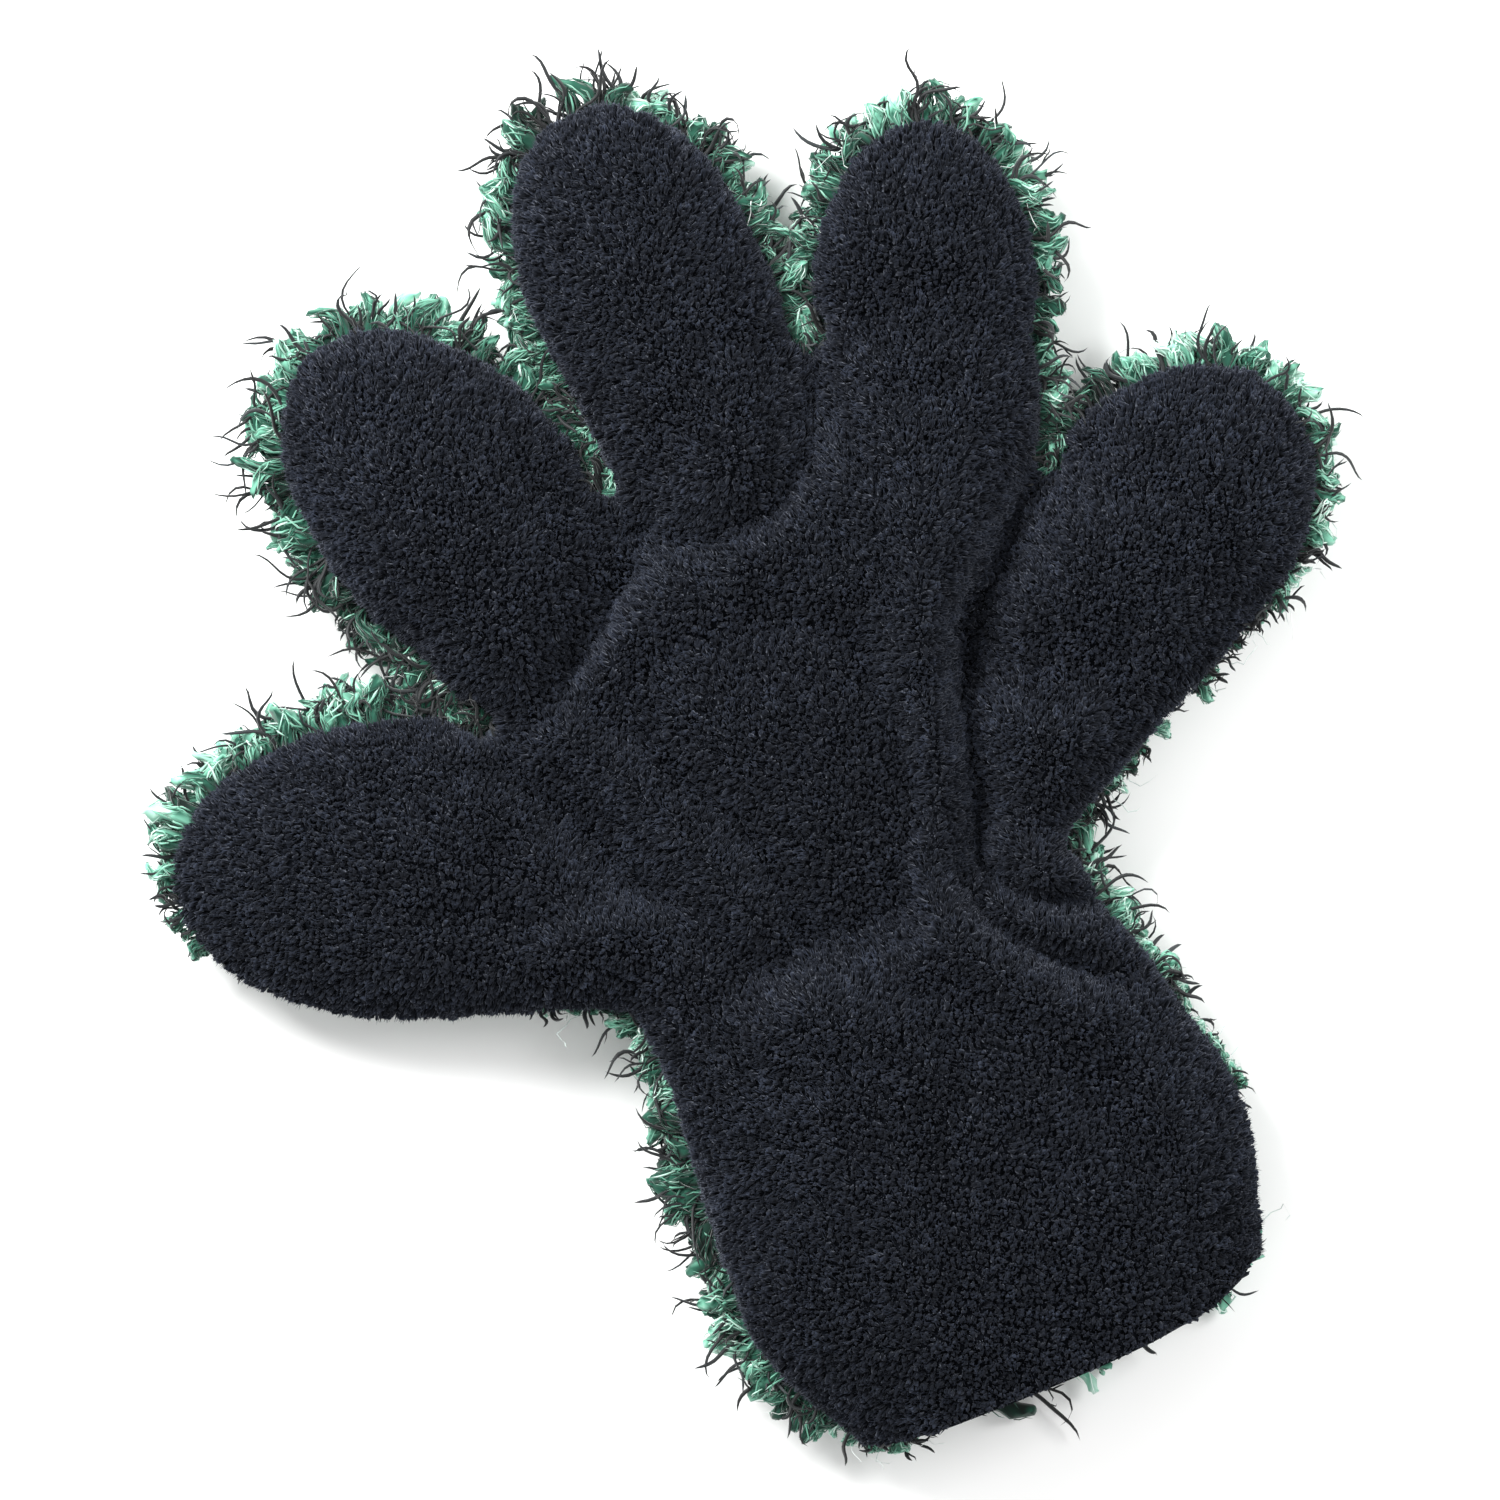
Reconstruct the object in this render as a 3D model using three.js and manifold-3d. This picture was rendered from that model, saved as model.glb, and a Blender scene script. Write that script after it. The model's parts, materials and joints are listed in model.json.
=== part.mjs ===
// A five-finger car wash mitt, lying on its shag side with its plush side up.
// +Y runs from the cuff to the fingers, +X to the right of the plush side, +Z up, in millimetres.
// Two hand-shaped panels of pile cloth are sewn edge to edge and turned out, and the cuff is hemmed.
// Each panel is one cut piece on the real mitt. It is divided here at the five finger folds, where
// a finger hinges on the palm, so every panel appears as one palm node and five finger nodes.

import * as THREE from 'three';
import { mergeVertices } from 'three/addons/utils/BufferGeometryUtils.js';
import Module from 'manifold-3d';

const wasm = await Module();
wasm.setup();

// Driving dimensions.
const CUFF_Y = -6; // the open end of the cuff
const SEAM_Z = 17; // height of the closing seam over the surface that the mitt lies on
const PALM_RISE = 23; // top of the plush over the seam, mid palm
const FINGER_RISE = 16; // the same, on a finger
const DROP = 18.5; // depth of the shag under the seam before it is pressed flat by the floor
const PLUSH_WALL = 6; // plush cloth with its pile
const SHAG_WALL = 9; // shag cloth with its pile, squashed by the mitt's weight
const EDGE_WALL = 8; // cloth and pile at the side of the hollow, measured in from the outline
const FRINGE = 7; // how far the shag stands out past the plush outline
const FULLNESS = 0.8; // 1 gives elliptical sections, less gives fuller ones
const SEAM_THICK = 3; // the two overlocked cloth edges
const SEAM_OUTER_INSET = 3; // outer side of the seam, in from the outline
const SEAM_INNER_INSET = 11; // raw edge of the seam allowance, in from the outline
const HEM_DEPTH = 20; // how far the turned cuff hem reaches into the mitt
const HEM_THICK = 2.5;
const STITCH_IN = 16; // the hem's stitch row, in from the cuff edge
const STITCH_WIDE = 1.2;
const STITCH_THICK = 0.8;
const GAP = 0.3; // between pieces that touch
const FOLD_GAP = 0.6; // from the fold plane to the cloth on each side of it
const LANE_GAP = 0.8; // from the plane midway between two fingers to the cloth on each side of it
const FOLD_HALF_ANGLE = 46; // slope of the notch faces over a fold, a little over half the fold's range
const FINGER_BACK = 50; // how far a finger's form reaches back into the palm from its root
const REACH = 400; // longer than the mitt, for cutting blocks
const ROUND = 20; // sides of a finger's section
const PALM_ROUND = 24; // sides of the palm's section
const TIP_STEPS = 6; // steps along a rounded end
const WELD = 1e-4; // corners closer than this are one corner

// Half-widths of the palm at distances from the cuff line, about an axis at PALM_X.
const PALM_X = -3;
const PALM_SIDE = [[50, -4], [57, 10], [62.5, 33], [58.5, 66], [53, 96], [53, 150]];
const PALM_END = 212;

// root is on the finger's centre line, heading is degrees clockwise from +Y, fold is the distance
// from the root to the fold line, base and wide are half-widths at the root and at the widest place,
// and tip is the length of the rounded end.
const FINGERS = [
  { name: 'thumb', root: [-42, 146], heading: -66, fold: 32, base: 34, wide: 34.5, length: 105, tip: 55 },
  { name: 'index', root: [-28, 190], heading: -15.5, fold: 30, base: 27.5, wide: 30.5, length: 96, tip: 50 },
  { name: 'middle', root: [21, 200], heading: 1.7, fold: 40, base: 25, wide: 27, length: 105, tip: 42 },
  { name: 'ring', root: [56, 186], heading: 27, fold: 41, base: 26, wide: 26, length: 90, tip: 44 },
  { name: 'little', root: [61.5, 141.5], heading: 68, fold: 40, base: 29.5, wide: 30.5, length: 86, tip: 42 },
];
// Where neighbouring fingers part, in the order of FINGERS.
const CROTCHES = [[-45, 177], [-5, 211], [46, 223], [78, 177]];

const radians = THREE.MathUtils.degToRad;

function solid(geometry) {
  const bare = geometry.clone();
  bare.deleteAttribute('normal');
  bare.deleteAttribute('uv');
  const merged = mergeVertices(bare, WELD);
  return new wasm.Manifold(new wasm.Mesh({
    numProp: 3,
    vertProperties: new Float32Array(merged.attributes.position.array),
    triVerts: new Uint32Array(merged.index.array),
  }));
}

// A round form turned about +Y, then flattened: rise and drop are its heights over and under the seam.
function pillow(profile, wide, rise, drop, sides) {
  const geometry = new THREE.LatheGeometry(profile, sides);
  const position = geometry.attributes.position;
  for (let i = 0; i < position.count; i += 1) {
    const radius = Math.hypot(position.getX(i), position.getZ(i));
    if (radius < WELD) {
      position.setZ(i, 0);
      continue;
    }
    const sine = position.getZ(i) / radius;
    const height = sine > 0 ? rise : drop;
    position.setZ(i, Math.sign(sine) * Math.abs(sine) ** FULLNESS * height * radius / wide);
  }
  return geometry;
}

function palmForm(grow, rise, drop, cuffY) {
  const side = new THREE.SplineCurve(PALM_SIDE.map(([half, y]) => new THREE.Vector2(half + grow, y)));
  const [lastHalf, lastY] = PALM_SIDE.at(-1);
  const end = new THREE.EllipseCurve(0, lastY, lastHalf + grow, PALM_END + grow - lastY, 0, Math.PI / 2);
  const mouthHalf = PALM_SIDE[0][0] + grow;
  const profile = [
    new THREE.Vector2(0, cuffY),
    new THREE.Vector2(mouthHalf, cuffY),
    ...side.getPoints(PALM_SIDE.length * 2),
    ...end.getPoints(TIP_STEPS).slice(1),
  ];
  profile.at(-1).x = 0;
  const widest = Math.max(...PALM_SIDE.map(([half]) => half)) + grow;
  return solid(pillow(profile, widest, rise, drop, PALM_ROUND).translate(PALM_X, 0, SEAM_Z));
}

// Moves a geometry from a finger's own frame, with +Y along the finger, to its place.
function toFinger(geometry, finger) {
  return geometry.rotateZ(-radians(finger.heading)).translate(...finger.root, SEAM_Z);
}

function fingerForm(finger, grow, rise, drop) {
  const tipStart = finger.length - finger.tip;
  const wide = finger.wide + grow;
  const tip = new THREE.EllipseCurve(0, tipStart, wide, finger.tip + grow, 0, Math.PI / 2);
  const profile = [
    new THREE.Vector2(0, -FINGER_BACK - grow),
    new THREE.Vector2(finger.base + grow, -FINGER_BACK - grow),
    new THREE.Vector2(finger.base + grow, 0),
    ...tip.getPoints(TIP_STEPS),
  ];
  profile.at(-1).x = 0;
  return solid(toFinger(pillow(profile, wide, rise, drop, ROUND), finger));
}

// The way out from the root to the plane midway between a finger and its neighbour, at the fold line.
function laneHalf(finger, index, step) {
  const neighbour = FINGERS[index + step];
  if (!neighbour) {
    return finger.wide + FRINGE;
  }
  const crotch = CROTCHES[Math.min(index, index + step)];
  const heading = radians(finger.heading);
  const dx = crotch[0] - finger.root[0];
  const dy = crotch[1] - finger.root[1];
  const along = dx * Math.sin(heading) + dy * Math.cos(heading);
  const across = Math.abs(dx * Math.cos(heading) - dy * Math.sin(heading));
  const spread = radians(Math.abs(neighbour.heading - finger.heading) / 2);
  return Math.min(across + (finger.fold - along) * Math.tan(spread) - LANE_GAP, finger.wide + FRINGE);
}

// A block as wide as a finger's lane. Its near side is the fold plane up to the seam, and above that
// it slopes by FOLD_HALF_ANGLE: forward for the finger's own cloth, back for the palm's clearance.
function foldBlock(finger, lane, side, widen) {
  const near = finger.fold + side * FOLD_GAP;
  const slope = side * REACH * Math.tan(radians(FOLD_HALF_ANGLE));
  const outline = new THREE.Shape([
    new THREE.Vector2(near, -REACH),
    new THREE.Vector2(near, 0),
    new THREE.Vector2(near + slope, REACH),
    new THREE.Vector2(near + 2 * REACH, REACH),
    new THREE.Vector2(near + 2 * REACH, -REACH),
  ]);
  const depth = lane.left + lane.right + 2 * widen;
  const block = new THREE.ExtrudeGeometry(outline, { depth, bevelEnabled: false });
  block.rotateX(Math.PI / 2).rotateZ(Math.PI / 2).translate(-lane.left - widen, 0, 0);
  return solid(toFinger(block, finger));
}

function laneBlock(finger, lane) {
  const block = new THREE.BoxGeometry(lane.left + lane.right, 2 * REACH, REACH);
  return solid(toFinger(block.translate((lane.right - lane.left) / 2, 0, 0), finger));
}

function slab(low, high, fromY = -REACH, toY = REACH) {
  const block = new THREE.BoxGeometry(2 * REACH, toY - fromY, high - low);
  return solid(block.translate(0, (fromY + toY) / 2, (low + high) / 2));
}

const lanes = FINGERS.map((finger, index) => ({
  left: laneHalf(finger, index, -1),
  right: laneHalf(finger, index, 1),
}));
const laneBlocks = FINGERS.map((finger, index) => laneBlock(finger, lanes[index]));
const fingerBlocks = FINGERS.map((finger, index) => foldBlock(finger, lanes[index], 1, 0));
const palmClearances = FINGERS.map((finger, index) => foldBlock(finger, lanes[index], -1, LANE_GAP));

// The palm form and the five finger forms at one offset from the outline.
function handForms(grow, palmRise, fingerRise, drop, cuffY) {
  return {
    palm: palmForm(grow, palmRise, drop, cuffY),
    fingers: FINGERS.map((finger) => fingerForm(finger, grow, fingerRise, drop)),
  };
}

function joined(forms) {
  return forms.fingers.reduce((whole, form) => whole.add(form), forms.palm);
}

// Cuts a layer of the hand, outer less inner, between two heights, into its palm and finger pieces.
function layer(outer, inner, level) {
  const clipped = outer.fingers.map((form, index) => form.intersect(laneBlocks[index]));
  const whole = joined({ palm: outer.palm, fingers: clipped });
  const hollow = joined(inner);
  const palm = palmClearances.reduce((rest, block) => rest.subtract(block), whole);
  const fingers = clipped.map((form, index) => form.intersect(fingerBlocks[index]));
  return {
    palm: palm.subtract(hollow).intersect(level),
    fingers: fingers.map((form, index) => form.subtract(inner.fingers[index]).intersect(level)),
  };
}

const seamLow = SEAM_Z - SEAM_THICK / 2;
const seamHigh = SEAM_Z + SEAM_THICK / 2;
const above = slab(seamHigh + GAP, REACH);
const below = slab(0, seamLow - GAP);

const cavityRise = { palm: PALM_RISE - PLUSH_WALL, finger: FINGER_RISE - PLUSH_WALL };
const cavityDrop = SEAM_Z - SHAG_WALL;

// The hollow that the hand goes into, shrunk by inset, from beyond the cuff to near the fingertips.
function hollowForms(inset) {
  return handForms(
    -EDGE_WALL - inset,
    cavityRise.palm - inset,
    cavityRise.finger - inset,
    cavityDrop - inset,
    CUFF_Y - HEM_DEPTH,
  );
}

const plushOuter = handForms(0, PALM_RISE, FINGER_RISE, DROP, CUFF_Y);
const shagOuter = handForms(FRINGE, PALM_RISE, FINGER_RISE, DROP, CUFF_Y);
const hollow = hollowForms(0);
const plush = layer(plushOuter, hollow, above);
const shag = layer(shagOuter, hollow, below);

// The seam allowance: both panels' cut edges, overlocked together and lying inside the mitt.
const seamOuter = handForms(-SEAM_OUTER_INSET, PALM_RISE, FINGER_RISE, DROP, CUFF_Y);
const seamInner = handForms(-SEAM_INNER_INSET, PALM_RISE, FINGER_RISE, DROP, CUFF_Y - HEM_DEPTH);
const seam = layer(seamOuter, seamInner, slab(seamLow, seamHigh));

// A band that follows the inside of the cuff, between two depths into the hollow.
function cuffBand(nearInset, farInset, fromY, toY) {
  const zone = slab(-REACH, REACH, fromY, toY);
  return hollowForms(nearInset).palm.subtract(hollowForms(farInset).palm).intersect(zone);
}

const hem = cuffBand(GAP, GAP + HEM_THICK, CUFF_Y, CUFF_Y + HEM_DEPTH);
const stitchNear = GAP * 2 + HEM_THICK;
const stitchY = CUFF_Y + STITCH_IN;
const stitches = cuffBand(stitchNear, stitchNear + STITCH_THICK, stitchY, stitchY + STITCH_WIDE);

const mitt = new THREE.Group();

const FINISHES = {
  plush: { color: 0x1f2328, roughness: 0.95, metalness: 0 },
  shag: { color: 0x7aa896, roughness: 0.9, metalness: 0 },
  seam: { color: 0x23282e, roughness: 0.9, metalness: 0 },
  hem: { color: 0x2a3036, roughness: 0.9, metalness: 0 },
  thread: { color: 0x15181c, roughness: 0.6, metalness: 0 },
};

function addPiece(name, form, finish) {
  const mesh = form.getMesh();
  const geometry = new THREE.BufferGeometry();
  geometry.setAttribute('position', new THREE.BufferAttribute(mesh.vertProperties, 3));
  geometry.setIndex(new THREE.BufferAttribute(mesh.triVerts, 1));
  geometry.computeVertexNormals();
  const piece = new THREE.Mesh(geometry, new THREE.MeshStandardMaterial(FINISHES[finish]));
  piece.name = name;
  mitt.add(piece);
}

// The palm's seam is six strips: one up each side of the cuff, and one round each crotch.
function angleFromPalm(form) {
  const box = form.boundingBox();
  const x = (box.min[0] + box.max[0]) / 2;
  const y = (box.min[1] + box.max[1]) / 2;
  return Math.atan2(x, y - PALM_SIDE.at(-1)[1]);
}

const PALM_SEAMS = [
  'seam_cuff_to_thumb',
  'seam_crotch_thumb_index',
  'seam_crotch_index_middle',
  'seam_crotch_middle_ring',
  'seam_crotch_ring_little',
  'seam_little_to_cuff',
];

addPiece('plush_panel_palm', plush.palm, 'plush');
addPiece('shag_panel_palm', shag.palm, 'shag');
FINGERS.forEach((finger, index) => {
  addPiece(`plush_panel_${finger.name}`, plush.fingers[index], 'plush');
  addPiece(`shag_panel_${finger.name}`, shag.fingers[index], 'shag');
  addPiece(`seam_${finger.name}`, seam.fingers[index], 'seam');
});
const palmSeams = seam.palm.decompose().sort((a, b) => angleFromPalm(a) - angleFromPalm(b));
PALM_SEAMS.forEach((name, index) => addPiece(name, palmSeams[index], 'seam'));
addPiece('hem_plush_side', hem.intersect(above), 'hem');
addPiece('hem_shag_side', hem.intersect(below), 'hem');
addPiece('hem_stitching_plush_side', stitches.intersect(above), 'thread');
addPiece('hem_stitching_shag_side', stitches.intersect(below), 'thread');

// The origin is under the middle of the mitt, on the surface that it lies on.
const box = new THREE.Box3().setFromObject(mitt);
mitt.position.set(-(box.min.x + box.max.x) / 2, -(box.min.y + box.max.y) / 2, -box.min.z);
mitt.updateMatrixWorld(true);

export default mitt;
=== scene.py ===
import json
import math

import bmesh
import bpy
import numpy as np
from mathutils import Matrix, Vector
from mathutils.bvhtree import BVHTree
from mathutils.kdtree import KDTree


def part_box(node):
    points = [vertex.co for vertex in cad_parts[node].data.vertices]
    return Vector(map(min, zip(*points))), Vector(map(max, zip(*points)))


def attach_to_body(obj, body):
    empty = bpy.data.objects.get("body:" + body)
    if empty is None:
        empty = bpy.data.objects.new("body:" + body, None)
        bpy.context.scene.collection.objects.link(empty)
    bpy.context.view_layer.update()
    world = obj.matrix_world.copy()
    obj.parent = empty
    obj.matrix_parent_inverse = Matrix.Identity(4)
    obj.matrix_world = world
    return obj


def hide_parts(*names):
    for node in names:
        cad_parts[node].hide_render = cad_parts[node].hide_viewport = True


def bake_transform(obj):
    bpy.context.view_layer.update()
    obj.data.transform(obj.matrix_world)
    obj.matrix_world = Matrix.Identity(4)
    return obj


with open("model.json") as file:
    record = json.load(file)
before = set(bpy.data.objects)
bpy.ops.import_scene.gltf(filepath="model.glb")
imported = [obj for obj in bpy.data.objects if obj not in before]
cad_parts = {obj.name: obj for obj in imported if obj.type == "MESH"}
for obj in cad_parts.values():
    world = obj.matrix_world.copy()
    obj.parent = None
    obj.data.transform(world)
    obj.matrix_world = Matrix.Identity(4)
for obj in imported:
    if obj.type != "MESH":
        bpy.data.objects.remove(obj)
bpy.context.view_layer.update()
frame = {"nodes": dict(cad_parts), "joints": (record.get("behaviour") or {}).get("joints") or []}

# Everything is worked out in millimetres and made in metres.
MM = 0.001
rng = np.random.default_rng(41)

# The cloth under the pile.
STEP = 2.0  # cells of the height map
BEYOND = 12.0  # the form runs on past the cuff before it is cut open
INSET = 0.7  # cloth behind the outline of the plush, before smoothing draws it in
PILE_DEPTH = 2.6  # cloth under the tips of the plush
UNDER_Z = 6.5  # cloth of the shag side over the floor
UNDER_SLOPE = 0.85
VOXEL = 2.6
CLOTH = 1.6
SWELL = 3.0  # most that the simulation may move the cloth
NOTCH = 21.0  # half of the CAD notch over a fold
SLOT = 5.0  # half of the CAD gap at a fold, and a little more
FOLD_NEAR = 12.0  # the cloth starts to bend this far before a fold line
HEM_DEPTH = 19.0
FINGERS = ["thumb", "index", "middle", "ring", "little"]
BODIES = ["palm"] + FINGERS

# Lines that the cloth folds along: the path, its depth, which is negative for a ridge, and how far it reaches to
# the left and to the right of the path.
CREASES = [
    ([(-58, 24), (-47, -2), (-41, -22), (-37, -42)], 6.0, 7, 8),
    ([(-44, 28), (-34, 6), (-26, -16), (-22, -40)], -3.2, 4, 4),
    ([(-28, 10), (-17, -12), (-14, -42)], 3.2, 8, 3),
    ([(78, 28), (62, 17), (49, 7), (40, -13), (33, -33), (28, -45)], 11.5, 10, 4),
    ([(56, 34), (43, 14), (34, -10), (26, -32), (19, -46)], -3.0, 5, 7),
    ([(28, -30), (22, -46), (24, -58), (31, -70), (43, -84)], 7.5, 5, 3.2),
    ([(16, -44), (17, -60), (25, -76), (38, -92)], -4.5, 5, 6),
    ([(34, -34), (29, -46), (33, -57), (42, -63), (54, -67)], 5.5, 3.5, 3.0),
    ([(26, -44), (28, -55), (34, -65), (46, -76)], -2.5, 2.8, 2.8),
    ([(38, -44), (42, -53), (52, -60)], -3.0, 4, 4),
    ([(-9, 52), (-23, 43), (-44, 30)], 7.5, 3.6, 11),
    ([(47, 74), (36, 55), (22, 47), (8, 48), (-2, 53)], 5.5, 4, 9),
    ([(48, 74), (46, 60), (50, 40)], 3.0, 6, 4),
    ([(-46, -48), (-15, -43), (10, -46), (20, -52)], 3.0, 8, 8),
    ([(-24, -56), (-6, -74), (-2, -100)], -2.2, 7, 7),
    ([(-4, -84), (-10, -152)], 2.2, 16, 16),
    ([(22, 24), (12, -8), (-2, -36)], -2.2, 13, 13),
]
# The cuff edge, across the mitt.
CUFF_EDGE = [
    (-66, -140), (-60, -147), (-55, -151.5), (-49, -154.5), (-36, -156.5), (-20, -158),
    (0, -159.5), (14, -160), (30, -159.5), (39, -157), (46, -153), (51, -147), (57, -138),
]
# The gaps between the fingers: where each one ends, a place further out, and its half-widths at the two.
GAPS = [
    ((-45.5, 22.3), (-56.6, 34.6), 1.6, 5.0),
    ((-6.3, 52.5), (-11.5, 102.8), 3.0, 7.0),
    ((42.4, 64.2), (55.9, 99.4), 3.4, 8.4),
    ((73.4, 23.4), (91.5, 42.6), 2.8, 7.5),
]

folds = {}
for joint in frame["joints"]:
    axis, pos = joint["axis"], joint["pos_m"]
    folds[joint["child"]] = {
        "at": np.array(pos[:2]) / MM,
        "along": np.array([-axis[1], axis[0]]),
        "across": np.array(axis[:2]),
    }
SEAM_Z = frame["joints"][0]["pos_m"][2] / MM


def node_points(name):
    mesh = frame["nodes"][name].data
    points = np.empty(len(mesh.vertices) * 3, np.float32)
    mesh.vertices.foreach_get("co", points)
    return points.reshape(-1, 3).astype(float) / MM


for name in FINGERS:
    reach = (node_points("plush_panel_" + name)[:, :2] - folds[name]["at"]) @ folds[name]["across"]
    folds[name]["half"] = float(np.abs(reach).max())


# ---------------------------------------------------------------- meshes from arrays


def new_mesh(name, points, face_sets, material=None, values=None, smooth=True):
    """A mesh object from points in millimetres and arrays of faces with the same number of corners."""
    mesh = bpy.data.meshes.new(name)
    mesh.vertices.add(len(points))
    mesh.vertices.foreach_set("co", (np.asarray(points) * MM).astype(np.float32).ravel())
    corners = np.concatenate([f.ravel() for f in face_sets]).astype(np.int32)
    sizes = np.concatenate([np.full(len(f), f.shape[1]) for f in face_sets])
    starts = np.concatenate([[0], np.cumsum(sizes)[:-1]]).astype(np.int32)
    mesh.loops.add(len(corners))
    mesh.loops.foreach_set("vertex_index", corners)
    mesh.polygons.add(len(sizes))
    mesh.polygons.foreach_set("loop_start", starts)
    mesh.update(calc_edges=True)
    mesh.polygons.foreach_set("use_smooth", np.full(len(sizes), smooth))
    if values is not None:
        for key, value in values.items():
            layer = mesh.attributes.new(key, "FLOAT", "POINT")
            layer.data.foreach_set("value", value.astype(np.float32))
        # The colours depend only on these two values, so they are the map's two axes.
        flat = np.stack([values["shade"], values["along"]], axis=1)[corners]
        mesh.uv_layers.new(name="OFBake").data.foreach_set(
            "uv", (0.02 + 0.96 * flat).astype(np.float32).ravel()
        )
    if material:
        mesh.materials.append(material)
    obj = bpy.data.objects.new(name, mesh)
    bpy.context.scene.collection.objects.link(obj)
    return obj


def bake_modifiers(obj):
    """Applies an object's modifiers to its mesh."""
    graph = bpy.context.evaluated_depsgraph_get()
    mesh = bpy.data.meshes.new_from_object(obj.evaluated_get(graph))
    obj.modifiers.clear()
    old, obj.data = obj.data, mesh
    mesh.name = obj.name
    bpy.data.meshes.remove(old)
    return obj


def points_of(obj):
    points = np.empty(len(obj.data.vertices) * 3, np.float32)
    obj.data.vertices.foreach_get("co", points)
    return points.reshape(-1, 3).astype(float) / MM


def set_points(obj, points):
    obj.data.vertices.foreach_set("co", (points * MM).astype(np.float32).ravel())
    obj.data.update()


def normals_of(obj):
    normals = np.empty(len(obj.data.vertices) * 3, np.float32)
    obj.data.vertex_normals.foreach_get("vector", normals)
    return normals.reshape(-1, 3).astype(float)


def unit(vectors):
    return vectors / np.maximum(np.linalg.norm(vectors, axis=-1, keepdims=True), 1e-9)


def ramp(value, low, high):
    """0 below low, 1 above high, smooth between."""
    t = np.clip((value - low) / (high - low), 0, 1)
    return t * t * (3 - 2 * t)


# ---------------------------------------------------------------- the shape of the cloth

xs = np.arange(-156, 156 + STEP / 2, STEP)
ys = np.arange(-184, 168 + STEP / 2, STEP)
cell_x, cell_y = np.meshgrid(xs, ys, indexing="ij")
cells = np.stack([cell_x.ravel(), cell_y.ravel()], axis=1)


def tree_of(prefix):
    points, faces = [], []
    for name, node in frame["nodes"].items():
        if name.startswith(prefix):
            base = len(points)
            points += [v.co / MM for v in node.data.vertices]
            faces += [[base + i for i in p.vertices] for p in node.data.polygons]
    return BVHTree.FromPolygons(points, faces)


def sample(field, xy):
    """Bilinear value of a field on the cells."""
    u = np.clip((xy[:, 0] - xs[0]) / STEP, 0, len(xs) - 1.001)
    v = np.clip((xy[:, 1] - ys[0]) / STEP, 0, len(ys) - 1.001)
    i, j = u.astype(int), v.astype(int)
    u, v = u - i, v - j
    near = field[i, j] * (1 - v) + field[i, j + 1] * v
    far = field[i + 1, j] * (1 - v) + field[i + 1, j + 1] * v
    return near * (1 - u) + far * u


def blur(field, times):
    for _ in range(times):
        field = np.pad(field, 1, mode="edge")
        field = (field[:-2] + 2 * field[1:-1] + field[2:]) / 4
        field = (field[:, :-2] + 2 * field[:, 1:-1] + field[:, 2:]) / 4
    return field


def outline_distance(inside):
    """Distance from each cell to the outline, below 0 outside it."""
    field = np.zeros(inside.shape)
    for want, sign in ((inside, 1), (~inside, -1)):
        others = np.argwhere(~want)
        tree = KDTree(len(others))
        for index, (i, j) in enumerate(others):
            tree.insert((i, j, 0), index)
        tree.balance()
        for i, j in np.argwhere(want):
            field[i, j] = sign * (tree.find((i, j, 0))[2] - 0.5) * STEP
    return field


def heights_over(prefix):
    """Top of the named pieces over each cell. 0 is outside."""
    tree = tree_of(prefix)
    tops = np.zeros(cell_x.shape)
    for i, x in enumerate(xs):
        for j, y in enumerate(ys):
            hit = tree.ray_cast(Vector((x, y, 100)), Vector((0, 0, -1)))[0]
            tops[i, j] = hit.z if hit else 0
    return tops


def notch_filling(tops):
    """Cells over the notches where there is plush on the real mitt: as far inside the outline of the shag as
    the nearest edge of the plush is."""
    lined = (heights_over("shag_panel_") > 0).astype(float)
    for fold in folds.values():
        rel = cells - fold["at"]
        u, v = rel @ fold["along"], rel @ fold["across"]
        slot = (np.abs(u) < SLOT) & (np.abs(v) < fold["half"] + 8)
        base = fold["at"] + np.outer(v[slot], fold["across"])
        both = sample(lined, base - SLOT * fold["along"]) * sample(lined, base + SLOT * fold["along"])
        lined.ravel()[slot] = np.maximum(lined.ravel()[slot], both > 0.3)
    shag_depth = outline_distance(lined > 0)
    plush_depth = outline_distance(tops > 0)
    windows = np.zeros(len(cells), bool)
    for fold in folds.values():
        rel = cells - fold["at"]
        windows |= (np.abs(rel @ fold["along"]) < NOTCH + 2) & (np.abs(rel @ fold["across"]) < fold["half"] + 6)
    windows = windows.reshape(tops.shape)
    rim = np.argwhere((plush_depth > 0) & (plush_depth < 0.6 * STEP) & ~windows)
    tree = KDTree(len(rim))
    for index, (i, j) in enumerate(rim):
        tree.insert((i, j, 0), index)
    tree.balance()
    filling = tops > 0
    for i, j in np.argwhere(windows & (tops == 0) & (shag_depth > 0)):
        nearest = rim[tree.find((i, j, 0))[1]]
        filling[i, j] = shag_depth[i, j] >= shag_depth[tuple(nearest)]
    filling = filling.ravel()
    for end, further, narrow, broad in GAPS:
        axis = np.subtract(further, end)
        length = np.linalg.norm(axis)
        rel = cells - end
        share = rel @ axis / length**2
        aside = np.abs(axis[0] * rel[:, 1] - axis[1] * rel[:, 0]) / length
        filling &= (share < 0) | (aside > narrow + (broad - narrow) * share)
    return filling


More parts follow.
